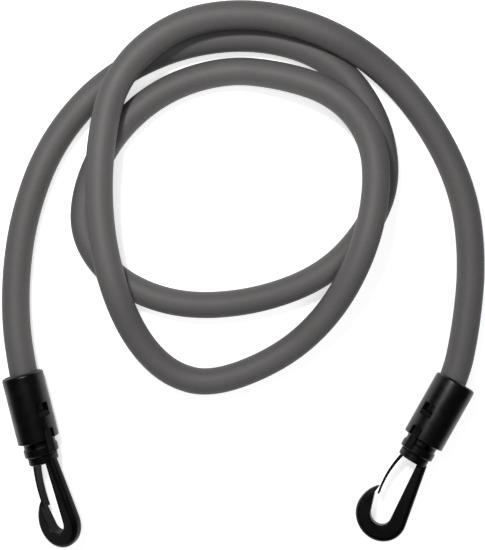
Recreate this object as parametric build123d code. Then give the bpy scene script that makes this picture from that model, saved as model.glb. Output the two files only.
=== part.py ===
from build123d import *
import os
from math import acos, atan2, cos, hypot, radians, sin, tan

# Stretch cord with a swivelling plastic snap hook at each end, lying in a loose loop of two and a half turns.
# Millimetres. Origin: on the table, under the middle of the two end fittings. +X to the right, +Y to the loop.
# A fitting is drawn along its own axis: Z runs from the collar's mouth to the hook, X is the side named below.

# Cord
cord_diameter = 12.0
core_diameter = 8.0
core_clearance = 0.05

# Collar: a tube with a tapering bore, a latch window and a keyway in its skirt
collar_diameter = 18.0
collar_length = 30.3
collar_wall = 1.4
collar_taper = 0.45          # how far the bore closes in, between skirt and throat
throat_depth = 7.0           # the bore flares out again from here to the mouth
mouth_flare = 0.5
mouth_round = 1.3
skirt_round = 0.3
window_start = 14.2
window_length = 6.0
window_width = 6.0
window_round = 0.5
keyway_length = 4.5
keyway_width = 5.4

# Collet: three fingers on a base, with teeth that bite the cord
collet_clearance = 0.15      # collet in the collar's bore
finger_start = 8.0
finger_slot = 2.2
finger_count = 3
tooth_bite = 0.35
tooth_relief = 0.1
tooth_pitch = 3.0
tooth_crest = 1.8            # along the axis, from a tooth's start to its crest
tooth_length = 2.4
cord_end_depth = 27.5
cord_seat_clearance = 0.3
neck_radius = 6.9
neck_step = 0.8              # the neck's sloping shoulders
slot_margin = 0.2            # the slots stop above the base's floor
ring_radius = 7.45
ring_start = 33.6
ring_length = 3.2
ring_round = 0.35
chamber_radius = 4.6
barb_side_clearance = 0.2
barb_end_clearance = 0.15
barb_length = 2.85
barb_depth = 0.25            # the barb's top, below the collar's surface
barb_ramp = 1.3
key_width = 3.5
key_height = 8.0             # the key's flat top, from the axis
key_end_clearance = 0.3
key_root = 0.6               # how deep the key is rooted in the neck

# Hook
swivel_clearance = 0.3       # between collet and hook, along the axis
disc_radius = 6.45
disc_thickness = 3.5
disc_round = 0.4
disc_overlap = 1.0           # how far the spine is rooted in the disc
stem_radius = 2.5
stem_clearance = 0.1
button_radius = 4.1
button_length = 2.3
button_chamfer = 1.0
split_width = 1.0
split_below_button = 2.6
hook_reach = 39.4            # from the disc to the end of the hook
bend_outer_radius = 11.3
bend_inner_radius = 4.6
bend_thickness = 6.9
bend_inner_shift = -0.3
spine_root_inner = 2.7
spine_root_outer = 6.8
hook_thickness = 5.6
root_thickness = 4.8
outer_round = 2.1
eye_chamfer = 0.5
spine_under_eye = 1.0        # how far the outline's inner root lies behind the eye's edge
nose_tip_x = -6.6
nose_tip_height = 17.6       # from the disc
nose_tip_width = 0.7
nose_lip = 0.5
nose_lip_length = 3.4

# Gate: a springy leaf that closes the hook's eye
gate_width = 3.6
gate_root_x = -4.3
gate_root_depth = 1.5        # the root's axis, inside the disc
gate_root_radius = 1.2
gate_root_thickness = 1.6
gate_mid_thickness = 1.1
gate_tip_thickness = 0.8
gate_bow_x = -6.15
gate_bow_height = 10.6       # the bow's crest and the tip, from the disc
gate_tip_x = -5.5
gate_length = 20.2
gate_opening = 22.0          # degrees, inwards, which the joint's range repeats
gate_rest_lean = 14.0        # the leaf's lean at its root
gate_root_clearance = 0.1
gate_side_clearance = 0.15
gate_mouth_clearance = 0.25

# Where the fittings lie. Azimuths are about the fitting's axis, from straight up, towards +X.
axis_height = collar_diameter / 2
left_mouth = (-97.1, 38.0)
left_heading = 14.2
left_key_azimuth = 53.0
left_spine_azimuth = 62.0
right_mouth = (98.1, 34.6)
right_heading = -29.4
right_key_azimuth = -52.0
right_spine_azimuth = 69.5

# The cord's way from the left fitting to the right one, as the corners of its runs
cord_route = [
    (-90.4, 11.3, 9.0),      # end in the left collar
    (-98.4, 43.1, 9.0),      # left mouth
    (-101.8, 76.5, 6.0),
    (-97.2, 111.0, 6.0),
    (-84.3, 144.0, 6.0),
    (-60.0, 171.5, 6.0),     # under the last turn
    (-26.0, 188.0, 6.0),
    (10.0, 191.5, 6.0),
    (42.0, 181.5, 6.0),
    (62.0, 157.0, 6.0),
    (68.5, 128.5, 6.0),
    (61.0, 105.5, 6.0),      # under the second turn
    (40.5, 82.5, 6.0),
    (8.0, 70.0, 6.0),
    (-27.0, 68.0, 6.0),
    (-55.5, 79.5, 6.0),      # under the last turn
    (-70.5, 99.0, 6.0),
    (-69.5, 122.0, 6.0),
    (-57.0, 147.5, 6.0),     # out from under the last turn
    (-34.5, 167.0, 6.0),
    (-6.0, 176.0, 6.0),
    (20.0, 171.5, 12.0),     # climbs on to the first turn
    (43.5, 161.5, 18.5),
    (58.5, 143.5, 18.5),
    (61.0, 120.0, 18.5),
    (54.5, 91.5, 19.0),
    (41.0, 65.0, 12.0),
    (20.0, 45.0, 6.0),
    (-11.0, 32.5, 6.0),      # the tight bend
    (-30.5, 37.0, 6.0),
    (-45.0, 52.5, 10.0),
    (-54.0, 75.5, 19.0),     # over the first turn
    (-60.5, 104.5, 18.5),
    (-60.5, 137.5, 18.5),
    (-53.5, 169.5, 18.5),    # over the first turn again
    (-28.5, 191.8, 18.5),
    (4.0, 197.5, 18.0),      # rests on the first turn's flank
    (38.0, 189.5, 18.5),
    (68.0, 173.5, 9.5),
    (90.0, 147.5, 6.0),
    (103.0, 118.5, 6.0),
    (106.4, 88.5, 6.0),
    (103.2, 59.5, 7.5),
    (97.1, 32.9, 9.0),       # right mouth
    (84.6, 10.65, 9.0),      # end in the right collar
]

# Sizes that follow from those above
cord_radius = cord_diameter / 2
collar_radius = collar_diameter / 2
skirt_bore = collar_radius - collar_wall
throat_bore = skirt_bore - collar_taper
mouth_bore = throat_bore + mouth_flare
keyway_start = collar_length - keyway_length
window_end = window_start + window_length
ring_end = ring_start + ring_length
disc_start = ring_end + swivel_clearance
disc_end = disc_start + disc_thickness
hook_end = disc_end + hook_reach
chamber_start = cord_end_depth + cord_seat_clearance
chamber_end = ring_start
button_end = chamber_end - swivel_clearance
button_start = button_end - button_length
finger_bore = cord_radius + tooth_relief
stem_bore = stem_radius + stem_clearance
barb_end = window_end - barb_end_clearance
barb_start = barb_end - barb_length
key_start = keyway_start + key_end_clearance
bend_centre = (0, hook_end - bend_outer_radius)
eye_centre = (bend_inner_shift, hook_end - bend_thickness - bend_inner_radius)
nose_tip_z = disc_end + nose_tip_height
gate_root_z = disc_end - gate_root_depth
past = 5.0                   # how far a cutter reaches past the face it cuts
flare_depth = 1.25           # the cutter that chamfers the eye, which widens outwards
flare_angle = 45.0
side_normal = 0.9            # least Y of a flat side's normal
arc_share = 0.45             # of the shorter run, which a corner of the cord's way may take up


def bore_radius(depth):
    """The collar's bore between its throat and its skirt."""
    along = (depth - throat_depth) / (collar_length - throat_depth)
    return throat_bore + (skirt_bore - throat_bore) * along


def turned(points):
    """A solid of revolution about Z from (radius, height) points."""
    profile = Plane.XZ * make_face(Polyline(*points, close=True))
    return revolve(profile, Axis.Z)


def side_block(x_from, x_to, width, z_from, z_to):
    """A block centred on the XZ plane."""
    middle = ((x_from + x_to) / 2, 0, (z_from + z_to) / 2)
    return Pos(*middle) * Box(x_to - x_from, width, z_to - z_from)


def rim(solid, end):
    """The widest circular edge at the bottom (0) or top (-1) of a turned solid."""
    circles = solid.edges().filter_by(GeomType.CIRCLE)
    return circles.group_by(SortBy.RADIUS)[-1].sort_by(Axis.Z)[end]


def collar():
    """Tube with the tapering bore that closes the collet on the cord. X is the key's side."""
    body = turned(
        [
            (mouth_bore, 0),
            (collar_radius, 0),
            (collar_radius, collar_length),
            (skirt_bore, collar_length),
            (throat_bore, throat_depth),
        ]
    )
    body = fillet(rim(body, 0), mouth_round)
    body = fillet(rim(body, -1), skirt_round)
    window = side_block(cord_radius, collar_radius + past, window_width, window_start, window_end)
    keyway = side_block(cord_radius, collar_radius + past, keyway_width, keyway_start, collar_length + past)
    body -= fillet(window.edges().filter_by(Axis.X), window_round)
    body -= fillet(keyway.edges().filter_by(Axis.X), window_round)
    return body


def tooth_rings():
    """Saw-toothed rings inside the fingers, steep on the side that holds the cord."""
    root = finger_bore + tooth_relief
    crest = cord_radius - tooth_bite
    rings = []
    tooth_count = int((cord_end_depth - finger_start) / tooth_pitch)
    for index in range(tooth_count):
        start = finger_start + index * tooth_pitch
        rings.append(turned([(root, start), (crest, start + tooth_crest), (root, start + tooth_length)]))
    return rings


def barb():
    """The key finger's end, which stands out through the collar's window."""
    barb_outline = Polyline(
        (finger_bore, barb_start),
        (bore_radius(barb_start) - collet_clearance, barb_start),
        (collar_radius - barb_depth, barb_start + barb_ramp),
        (collar_radius - barb_depth, barb_end),
        (finger_bore, barb_end),
        close=True,
    )
    half_width = window_width / 2 - barb_side_clearance
    return extrude(Plane.XZ * make_face(barb_outline), half_width, both=True)


def collet():
    """Three toothed fingers on a base that holds the hook's button. X is the key's side."""
    body = turned(
        [
            (finger_bore, finger_start),
            (bore_radius(finger_start) - collet_clearance, finger_start),
            (bore_radius(collar_length) - collet_clearance, collar_length - collet_clearance),
            (neck_radius, collar_length + neck_step),
            (neck_radius, ring_start - neck_step),
            (ring_radius, ring_start),
            (ring_radius, ring_end - ring_round),
            (ring_radius - ring_round, ring_end),
            (stem_bore, ring_end),
            (stem_bore, chamber_end),
            (chamber_radius, chamber_end),
            (chamber_radius, chamber_start),
            (finger_bore, chamber_start),
        ]
    )
    for tooth in tooth_rings():
        body += tooth
    for index in range(finger_count):
        slot = side_block(0, collar_radius, finger_slot, finger_start - past, chamber_end - slot_margin)
        body -= Rot(0, 0, (index + 0.5) * 360 / finger_count) * slot
    finger_angle = 360 / finger_count
    key_finger = Rot(0, 0, -finger_angle / 2) * Cylinder(
        collar_radius, barb_start, arc_size=finger_angle, align=(Align.CENTER, Align.CENTER, Align.MIN)
    )
    body -= key_finger
    body += barb()
    body += side_block(neck_radius - key_root, key_height, key_width, key_start, ring_end - ring_round)
    return body


def tangent_point(start, centre, radius, side):
    """Where a line from start touches a circle, on its +X side (1) or -X side (-1)."""
    away = hypot(start[0] - centre[0], start[1] - centre[1])
    towards_start = atan2(start[1] - centre[1], start[0] - centre[0])
    angle = towards_start + side * acos(radius / away)
    return (centre[0] + radius * cos(angle), centre[1] + radius * sin(angle))


def hook_outline():
    """The hook's outer outline, closed straight across its eye."""
    root = (spine_root_outer, disc_end - disc_overlap)
    inner_root = (spine_root_inner - spine_under_eye, disc_end - disc_overlap)
    spine_end = tangent_point(root, bend_centre, bend_outer_radius, 1)
    bend_bottom = (bend_centre[0], hook_end)
    bend_left = (bend_centre[0] - bend_outer_radius, bend_centre[1])
    tip_outer = (nose_tip_x - nose_tip_width, nose_tip_z)
    spine = Line(root, spine_end)
    bend = ThreePointArc(spine_end, bend_bottom, bend_left)
    nose = TangentArc(bend_left, tip_outer, tangent=(0, -1))
    across = Polyline(tip_outer, (inner_root[0], nose_tip_z), inner_root, root)
    return make_face([spine, bend, nose, across])


def eye_outline():
    """The eye: spine, seat in the bend, the nose's inner side with its lip, and out past the gate."""
    root = (spine_root_inner, disc_end)
    lip = (nose_tip_x - nose_lip, nose_tip_z + nose_lip_length)
    seat_start = tangent_point(root, eye_centre, bend_inner_radius, 1)
    seat_end = tangent_point(lip, eye_centre, bend_inner_radius, -1)
    seat_bottom = (eye_centre[0], eye_centre[1] + bend_inner_radius)
    spine = Line(root, seat_start)
    seat = ThreePointArc(seat_start, seat_bottom, seat_end)
    far_side = nose_tip_x - 2 * past
    nose = Polyline(
        seat_end,
        lip,
        (nose_tip_x, nose_tip_z),
        (nose_tip_x, nose_tip_z - past),
        (far_side, nose_tip_z - past),
        (far_side, disc_end),
        root,
    )
    return make_face([spine, seat, nose])


def hook_side():
    """The hook seen edge on: it is thinner at the disc than at the bend."""
    root = root_thickness / 2
    end = hook_thickness / 2
    top = disc_end - disc_overlap
    low = hook_end + past
    return make_face(Polyline((-root, top), (root, top), (end, low), (-end, low), close=True))


def outer_edges(body):
    """The long edges round the outside of the hook's two flat sides."""
    chosen = ShapeList()
    for face in body.faces().filter_by(lambda face: abs(face.normal_at().Y) > side_normal):
        for edge in face.edges():
            middle = edge.position_at(0.5)
            from_bend = hypot(middle.X - bend_centre[0], middle.Z - bend_centre[1])
            beyond_eye = middle.X > spine_root_outer or middle.Z > nose_tip_z + nose_tip_width
            if from_bend > bend_outer_radius - eye_chamfer and beyond_eye:
                chosen.append(edge)
    return chosen


def rounded_hook():
    """Spine, bend and nose, fully rounded outside and chamfered round the eye."""
    body = extrude(Plane.XZ * hook_outline(), hook_thickness, both=True)
    body &= extrude(Plane.YZ * hook_side(), 2 * collar_diameter, both=True)
    body = fillet(outer_edges(body), outer_round)
    body -= extrude(Plane.XZ * eye_outline(), hook_thickness, both=True)
    flare_plane = Plane.XZ.offset((root_thickness - eye_chamfer) / 2)
    flare = extrude(flare_plane * eye_outline(), flare_depth, taper=-flare_angle)
    return body - flare - mirror(flare, Plane.XZ)


def gate_pocket():
    """The room in the disc for the gate's round root and for the leaf's swing."""
    half_width = gate_width / 2 + gate_side_clearance
    half_mouth = gate_root_thickness / 2 + gate_mouth_clearance
    reach = gate_root_depth + past
    rest = tan(radians(gate_rest_lean)) * reach
    open_lean = tan(radians(gate_opening - gate_rest_lean)) * reach
    mouth = Polyline(
        (gate_root_x - half_mouth, gate_root_z),
        (gate_root_x - half_mouth - rest, gate_root_z + reach),
        (gate_root_x + half_mouth + open_lean, gate_root_z + reach),
        (gate_root_x + half_mouth, gate_root_z),
        close=True,
    )
    seat = Pos(gate_root_x, 0, gate_root_z) * Rot(90, 0, 0) * Cylinder(
        gate_root_radius + gate_root_clearance, 2 * half_width
    )
    return seat + extrude(Plane.XZ * make_face(mouth), half_width, both=True)


def hook():
    """Stem with its split button, disc, spine, bend and nose. X is the spine's side."""
    shank = turned(
        [
            (0, button_start),
            (button_radius - button_chamfer, button_start),
            (button_radius, button_start + button_chamfer),
            (button_radius, button_end),
            (stem_radius, button_end),
            (stem_radius, disc_start),
            (disc_radius - disc_round, disc_start),
            (disc_radius, disc_start + disc_round),
            (disc_radius, disc_end - disc_round),
            (disc_radius - disc_round, disc_end),
            (0, disc_end),
        ]
    )
    split_end = button_end + split_below_button
    shank -= side_block(-disc_radius, disc_radius, split_width, button_start - past, split_end)
    return shank + rounded_hook() - gate_pocket()


def gate():
    """The springy leaf with its round root. X is the spine's side."""
    bow_z = disc_end + gate_bow_height
    tip_z = disc_end + gate_length
    inner = Spline(
        (gate_root_x + gate_root_thickness / 2, gate_root_z),
        (gate_bow_x + gate_mid_thickness / 2, bow_z),
        (gate_tip_x + gate_tip_thickness / 2, tip_z),
    )
    outer = Spline(
        (gate_tip_x - gate_tip_thickness / 2, tip_z),
        (gate_bow_x - gate_mid_thickness / 2, bow_z),
        (gate_root_x - gate_root_thickness / 2, gate_root_z),
    )
    tip = ThreePointArc(inner @ 1, (gate_tip_x, tip_z + gate_tip_thickness / 2), outer @ 0)
    leaf_face = make_face([inner, tip, outer, Line(outer @ 1, inner @ 0)])
    leaf = extrude(Plane.XZ * leaf_face, gate_width / 2, both=True)
    root = Pos(gate_root_x, 0, gate_root_z) * Rot(90, 0, 0) * Cylinder(gate_root_radius, gate_width)
    return leaf + root


def placed(piece, mouth, heading, azimuth):
    """A fitting's piece at its mouth on the table, pointing along heading, with X turned to azimuth."""
    ahead = Vector(sin(radians(heading)), -cos(radians(heading)), 0)
    aside = Vector(cos(radians(heading)), sin(radians(heading)), 0)
    x_side = Vector(0, 0, 1) * cos(radians(azimuth)) + aside * sin(radians(azimuth))
    return Plane(origin=(*mouth, axis_height), x_dir=x_side, z_dir=ahead).location * piece


def route_path():
    """The cord's centre line: straight runs joined by the largest arcs that they allow."""
    points = [Vector(*point) for point in cord_route]
    radii = []
    for before, corner, after in zip(points, points[1:], points[2:]):
        turn = (corner - before).get_angle(after - corner)
        shorter = min((corner - before).length, (after - corner).length)
        radii.append(arc_share * shorter / tan(radians(turn / 2)))
    print("cord radii", [round(radius) for radius in radii])
    return FilletPolyline(*points, radius=radii)


def swept(path, outer_radius, bore):
    """A round bar or tube along the cord's centre line."""
    section_plane = Plane(origin=path @ 0, z_dir=path % 0)
    section = Circle(outer_radius)
    if bore:
        section -= Circle(bore)
    solid = sweep(section_plane * section, path=path)
    share = solid.volume / (section.area * path.length)
    print("cord length", round(path.length, 1), "volume over section by length", round(share, 4))
    return solid


path = route_path()
parts = {
    "cord_sheath": swept(path, cord_radius, core_diameter / 2 + core_clearance),
    "cord_core": swept(path, core_diameter / 2, 0),
}
collar_piece = collar()
collet_piece = collet()
hook_piece = hook()
gate_piece = gate()
sides = {
    "left": (left_mouth, left_heading, left_key_azimuth, left_spine_azimuth),
    "right": (right_mouth, right_heading, right_key_azimuth, right_spine_azimuth),
}
for side, (mouth, heading, key_azimuth, spine_azimuth) in sides.items():
    parts[side + "_collar"] = placed(collar_piece, mouth, heading, key_azimuth)
    parts[side + "_collet"] = placed(collet_piece, mouth, heading, key_azimuth)
    parts[side + "_hook"] = placed(hook_piece, mouth, heading, spine_azimuth)
    parts[side + "_gate"] = placed(gate_piece, mouth, heading, spine_azimuth)

os.makedirs("parts", exist_ok=True)
for node, solid in parts.items():
    export_step(solid, "parts/" + node + ".step")
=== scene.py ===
import bpy
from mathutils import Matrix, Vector


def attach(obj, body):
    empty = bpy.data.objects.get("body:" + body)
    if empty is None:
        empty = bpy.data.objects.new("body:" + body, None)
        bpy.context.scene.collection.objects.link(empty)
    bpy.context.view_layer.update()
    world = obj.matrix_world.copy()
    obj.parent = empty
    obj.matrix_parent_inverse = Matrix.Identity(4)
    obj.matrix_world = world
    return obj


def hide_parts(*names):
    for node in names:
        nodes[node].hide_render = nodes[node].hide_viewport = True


# Stretch cord with a swivelling snap hook at each end, laid down in loose loops on a white table.

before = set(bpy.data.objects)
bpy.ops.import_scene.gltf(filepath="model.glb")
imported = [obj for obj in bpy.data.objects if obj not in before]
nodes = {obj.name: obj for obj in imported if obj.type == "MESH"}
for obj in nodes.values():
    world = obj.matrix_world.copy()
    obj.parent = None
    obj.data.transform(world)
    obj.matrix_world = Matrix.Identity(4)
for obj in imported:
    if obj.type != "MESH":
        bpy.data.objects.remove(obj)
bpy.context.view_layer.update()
print("frame loaded with", len(nodes), "nodes")

scene = bpy.context.scene
scene.view_settings.view_transform = "Standard"
mm = 0.001


def linear(hexColour):
    # sRGB hex to the linear values that the shaders want
    channels = [int(hexColour[start:start + 2], 16) / 255 for start in (1, 3, 5)]
    curved = [c / 12.92 if c <= 0.04045 else ((c + 0.055) / 1.055) ** 2.4 for c in channels]
    return (*curved, 1)


def addNode(tree, kind, settings=None, links=None):
    # capitals or a number name an input, small letters a setting of the node itself
    node = tree.nodes.new(kind)
    for name, value in (settings or {}).items():
        if isinstance(name, int) or name[0].isupper():
            node.inputs[name].default_value = value
        else:
            setattr(node, name, value)
    for name, source in (links or {}).items():
        tree.links.new(source, node.inputs[name])
    return node


def newMaterial(name):
    material = bpy.data.materials.new(name)
    material.use_nodes = True
    material.node_tree.nodes.clear()
    return material, material.node_tree


# Camera: straight above the loops
cameraSet = {
    "place": (2.0, 82.5, 300.0),
    "lens": 42.34,
    "sensor": 36.0,
}


def makeCamera():
    data = bpy.data.cameras.new("camera")
    data.lens = cameraSet["lens"]
    data.sensor_width = cameraSet["sensor"]
    camera = bpy.data.objects.new("camera", data)
    camera.location = Vector(cameraSet["place"]) * mm
    scene.collection.objects.link(camera)
    scene.camera = camera


makeCamera()
print("camera placed")

# Light: one near lamp above and to the left of the loops, a weak overhead fill, and a dim room
lightSet = {
    "lampPlace": (-71, 216, 300),
    "lampSize": 50,
    "lampWatts": 0.75,
    "fillPlace": (60, -120, 700),
    "fillSize": 500,
    "fillWatts": 1.6,
    "roomColour": "#e8ecf2",
    "roomStrength": 0.2,
    "roomMirrored": 0.02,    # the room's strength where a glossy surface mirrors it
    "target": (0, 80, 0),
}


def makeLamp(name, place, size, watts, mirrored):
    data = bpy.data.lights.new(name, "AREA")
    data.shape = "DISK"
    data.size = size * mm
    data.energy = watts
    lamp = bpy.data.objects.new(name, data)
    lamp.location = Vector(place) * mm
    aim = Vector(lightSet["target"]) * mm - lamp.location
    lamp.rotation_euler = aim.to_track_quat("-Z", "Y").to_euler()
    lamp.visible_glossy = mirrored
    scene.collection.objects.link(lamp)


def makeRoom():
    world = bpy.data.worlds.new("room")
    world.use_nodes = True
    tree = world.node_tree
    tree.nodes.clear()
    rays = addNode(tree, "ShaderNodeLightPath")
    strength = addNode(tree, "ShaderNodeMapRange", {
        "To Min": lightSet["roomStrength"], "To Max": lightSet["roomMirrored"]}, {
        "Value": rays.outputs["Is Glossy Ray"]})
    shade = addNode(tree, "ShaderNodeBackground", {"Color": linear(lightSet["roomColour"])}, {
        "Strength": strength.outputs[0]})
    white = addNode(tree, "ShaderNodeBackground", {"Color": (1, 1, 1, 1), "Strength": 1})
    mixed = addNode(tree, "ShaderNodeMixShader", links={
        0: rays.outputs["Is Camera Ray"], 1: shade.outputs[0], 2: white.outputs[0]})
    addNode(tree, "ShaderNodeOutputWorld", links={"Surface": mixed.outputs[0]})
    scene.world = world


makeLamp("lamp", lightSet["lampPlace"], lightSet["lampSize"], lightSet["lampWatts"], True)
makeLamp("fill", lightSet["fillPlace"], lightSet["fillSize"], lightSet["fillWatts"], False)
makeRoom()
print("lights placed")

# Table: white laminate that glows a little where it is seen, and still darkens under the cord
tableSet = {
    "size": 3000,
    "paint": "#f2f2f0",
    "glow": 0.62,
}


def makeTable():
    half = tableSet["size"] / 2 * mm
    corners = [(-half, -half, 0), (half, -half, 0), (half, half, 0), (-half, half, 0)]
    mesh = bpy.data.meshes.new("table")
    mesh.from_pydata(corners, [], [(0, 1, 2, 3)])
    table = bpy.data.objects.new("table", mesh)
    scene.collection.objects.link(table)
    material, tree = newMaterial("white laminate")
    rays = addNode(tree, "ShaderNodeLightPath")
    seen = addNode(tree, "ShaderNodeMath", {"operation": "MAXIMUM"}, {
        0: rays.outputs["Is Camera Ray"], 1: rays.outputs["Is Glossy Ray"]})
    seenAny = addNode(tree, "ShaderNodeMath", {"operation": "MAXIMUM"}, {
        0: seen.outputs[0], 1: rays.outputs["Is Transmission Ray"]})
    glowStrength = addNode(tree, "ShaderNodeMath", {"operation": "MULTIPLY", 1: tableSet["glow"]}, {
        0: seenAny.outputs[0]})
    paint = addNode(tree, "ShaderNodeBsdfDiffuse", {"Color": linear(tableSet["paint"])})
    glow = addNode(tree, "ShaderNodeEmission", links={"Strength": glowStrength.outputs[0]})
    both = addNode(tree, "ShaderNodeAddShader", links={0: paint.outputs[0], 1: glow.outputs[0]})
    addNode(tree, "ShaderNodeOutputMaterial", links={"Surface": both.outputs[0]})
    mesh.materials.append(material)


makeTable()
print("table made")

# Cord: the points of its way are the corners that its smooth line bends round, in millimetres
cordSet = {"diameter": 12.0, "length": 1316, "smoothness": 14, "roundness": 10}
cordRoute = [
    (-90.4, 11.3, 9.0),      # end in the left collar
    (-98.4, 43.1, 9.0),      # left mouth
    (-101.8, 76.5, 6.0),
    (-97.2, 111.0, 6.0),
    (-84.3, 144.0, 6.0),
    (-60.0, 171.5, 6.0),     # under the last turn
    (-26.0, 188.0, 6.0),
    (10.0, 191.5, 6.0),
    (42.0, 181.5, 6.0),
    (62.0, 157.0, 6.0),
    (68.5, 128.5, 6.0),
    (61.0, 105.5, 6.0),      # under the second turn
    (40.5, 82.5, 6.0),
    (8.0, 70.0, 6.0),
    (-27.0, 68.0, 6.0),
    (-55.5, 79.5, 6.0),      # under the last turn
    (-70.5, 99.0, 6.0),
    (-69.5, 122.0, 6.0),
    (-57.0, 147.5, 6.0),     # out from under the last turn
    (-34.5, 167.0, 6.0),
    (-6.0, 176.0, 6.0),
    (20.0, 171.5, 12.0),     # climbs on to the first turn
    (43.5, 161.5, 18.5),
    (58.5, 143.5, 18.5),
    (61.0, 120.0, 18.5),
    (54.5, 91.5, 19.0),
    (41.0, 65.0, 12.0),
    (20.0, 45.0, 6.0),
    (-11.0, 32.5, 6.0),      # the tight bend
    (-30.5, 37.0, 6.0),
    (-45.0, 52.5, 10.0),
    (-54.0, 75.5, 19.0),     # over the first turn
    (-60.5, 104.5, 18.5),
    (-60.5, 137.5, 18.5),
    (-53.5, 169.5, 18.5),    # over the first turn again
    (-28.5, 191.8, 18.5),
    (4.0, 197.5, 18.0),      # rests on the first turn's flank
    (38.0, 189.5, 18.5),
    (68.0, 173.5, 9.5),
    (90.0, 147.5, 6.0),
    (103.0, 118.5, 6.0),
    (106.4, 88.5, 6.0),
    (103.2, 59.5, 7.5),
    (97.1, 32.9, 9.0),       # right mouth
    (84.6, 10.65, 9.0),      # end in the right collar
]


def rubberJacket():
    # extruded synthetic rubber: dull mid grey with a fine dry grain and a weak, wide sheen
    look = {
        "grey": "#545251",
        "dust": "#5c5a59",
        "grain": 0.9,
        "grainDetail": 3.0,
        "mottle": 35,
        "mottleDetail": 4.0,
        "mottleShare": 0.45,
        "leastFac": 0.35,
        "mostFac": 0.65,
        "roughness": 0.62,
        "bend": 1.5,
        "bump": 0.25,
        "bumpDepth": 0.05,
    }
    material, tree = newMaterial("extruded rubber")
    place = addNode(tree, "ShaderNodeTexCoord")
    grain = addNode(tree, "ShaderNodeTexNoise", {
        "Scale": 1 / (look["grain"] * mm), "Detail": look["grainDetail"]}, {
        "Vector": place.outputs["Object"]})
    mottle = addNode(tree, "ShaderNodeTexNoise", {
        "Scale": 1 / (look["mottle"] * mm), "Detail": look["mottleDetail"]}, {
        "Vector": place.outputs["Object"]})
    both = addNode(tree, "ShaderNodeMix", {"data_type": "FLOAT", 0: look["mottleShare"]}, {
        2: grain.outputs["Fac"], 3: mottle.outputs["Fac"]})
    spread = addNode(tree, "ShaderNodeMapRange", {
        "From Min": look["leastFac"], "From Max": look["mostFac"]}, {
        "Value": both.outputs[0]})
    colour = addNode(tree, "ShaderNodeMix", {
        "data_type": "RGBA", 6: linear(look["grey"]), 7: linear(look["dust"])}, {
        0: spread.outputs[0]})
    bump = addNode(tree, "ShaderNodeBump", {
        "Strength": look["bump"], "Distance": look["bumpDepth"] * mm}, {"Height": grain.outputs["Fac"]})
    shader = addNode(tree, "ShaderNodeBsdfPrincipled", {
        "Roughness": look["roughness"], "IOR": look["bend"]}, {
        "Base Color": colour.outputs[2], "Normal": bump.outputs["Normal"]})
    addNode(tree, "ShaderNodeOutputMaterial", links={"Surface": shader.outputs[0]})
    return material


def makeCord():
    curve = bpy.data.curves.new("cord_jacket", "CURVE")
    curve.dimensions = "3D"
    curve.bevel_depth = cordSet["diameter"] / 2 * mm
    curve.bevel_resolution = cordSet["roundness"]
    curve.use_fill_caps = True
    curve.twist_mode = "MINIMUM"
    spline = curve.splines.new("NURBS")
    spline.points.add(len(cordRoute) - 1)
    for point, corner in zip(spline.points, cordRoute):
        point.co = (*(Vector(corner) * mm), 1)
    spline.order_u = 3
    spline.use_endpoint_u = True
    spline.resolution_u = cordSet["smoothness"]
    cord = bpy.data.objects.new("cord_jacket", curve)
    scene.collection.objects.link(cord)
    curve.materials.append(rubberJacket())
    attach(cord, "cord")
    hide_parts("cord_sheath", "cord_core")


makeCord()
print("cord laid")


# what every fitting's plastic has in common
acetalSet = {
    "bend": 1.48,
    "grainDetail": 2.0,
    "grainDepth": 0.02,
    "flowDetail": 3.0,
    "flowDepth": 0.2,
    "leastFac": 0.3,
    "mostFac": 0.7,
}


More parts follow.
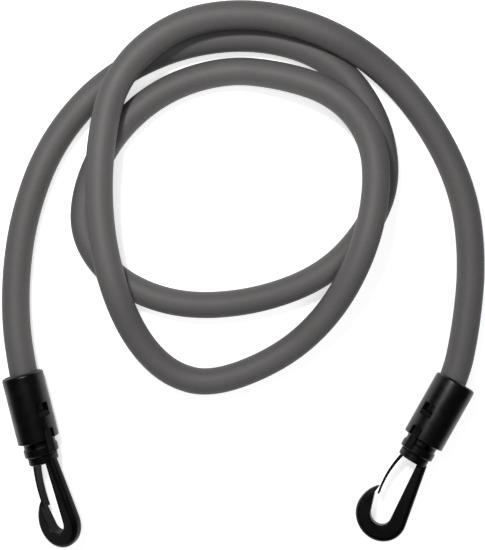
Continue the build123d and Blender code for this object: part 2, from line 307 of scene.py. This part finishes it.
def mouldedAcetal(name, look):
    # injection-moulded acetal: deep black, with a satin gloss broken by shallow flow marks
    material, tree = newMaterial(name)
    place = addNode(tree, "ShaderNodeTexCoord")
    grain = addNode(tree, "ShaderNodeTexNoise", {
        "Scale": 1 / (look["grain"] * mm), "Detail": acetalSet["grainDetail"]}, {
        "Vector": place.outputs["Object"]})
    flow = addNode(tree, "ShaderNodeTexNoise", {
        "Scale": 1 / (look["flow"] * mm), "Detail": acetalSet["flowDetail"]}, {
        "Vector": place.outputs["Object"]})
    rough = addNode(tree, "ShaderNodeMapRange", {
        "From Min": acetalSet["leastFac"], "From Max": acetalSet["mostFac"],
        "To Min": look["smoothest"], "To Max": look["roughest"]}, {
        "Value": flow.outputs["Fac"]})
    fine = addNode(tree, "ShaderNodeBump", {
        "Strength": look["grainBump"], "Distance": acetalSet["grainDepth"] * mm}, {
        "Height": grain.outputs["Fac"]})
    wide = addNode(tree, "ShaderNodeBump", {
        "Strength": look["flowBump"], "Distance": acetalSet["flowDepth"] * mm}, {
        "Height": flow.outputs["Fac"], "Normal": fine.outputs["Normal"]})
    shader = addNode(tree, "ShaderNodeBsdfPrincipled", {
        "Base Color": linear(look["black"]), "IOR": acetalSet["bend"], "Specular IOR Level": look["shine"]}, {
        "Roughness": rough.outputs[0], "Normal": wide.outputs["Normal"]})
    addNode(tree, "ShaderNodeOutputMaterial", links={"Surface": shader.outputs[0]})
    return material


# Fittings: the moulded pieces keep their own shapes and get their finish here
collarLook = {"black": "#080808", "grain": 0.5, "flow": 4, "smoothest": 0.3, "roughest": 0.42,
              "grainBump": 0.2, "flowBump": 0.15, "shine": 0.4}
colletLook = {"black": "#070707", "grain": 0.5, "flow": 4, "smoothest": 0.3, "roughest": 0.45,
              "grainBump": 0.2, "flowBump": 0.1, "shine": 0.3}
hookLook = {"black": "#060606", "grain": 0.6, "flow": 5, "smoothest": 0.36, "roughest": 0.5,
            "grainBump": 0.25, "flowBump": 0.1, "shine": 0.25}
fittingLooks = {"collar": collarLook, "collet": colletLook, "hook": hookLook, "gate": hookLook}


def finishFittings():
    for kind, look in fittingLooks.items():
        material = mouldedAcetal("moulded acetal " + kind, look)
        for side in ("left", "right"):
            mesh = nodes[side + "_" + kind].data
            mesh.materials.clear()
            mesh.materials.append(material)


finishFittings()
print("fittings finished")
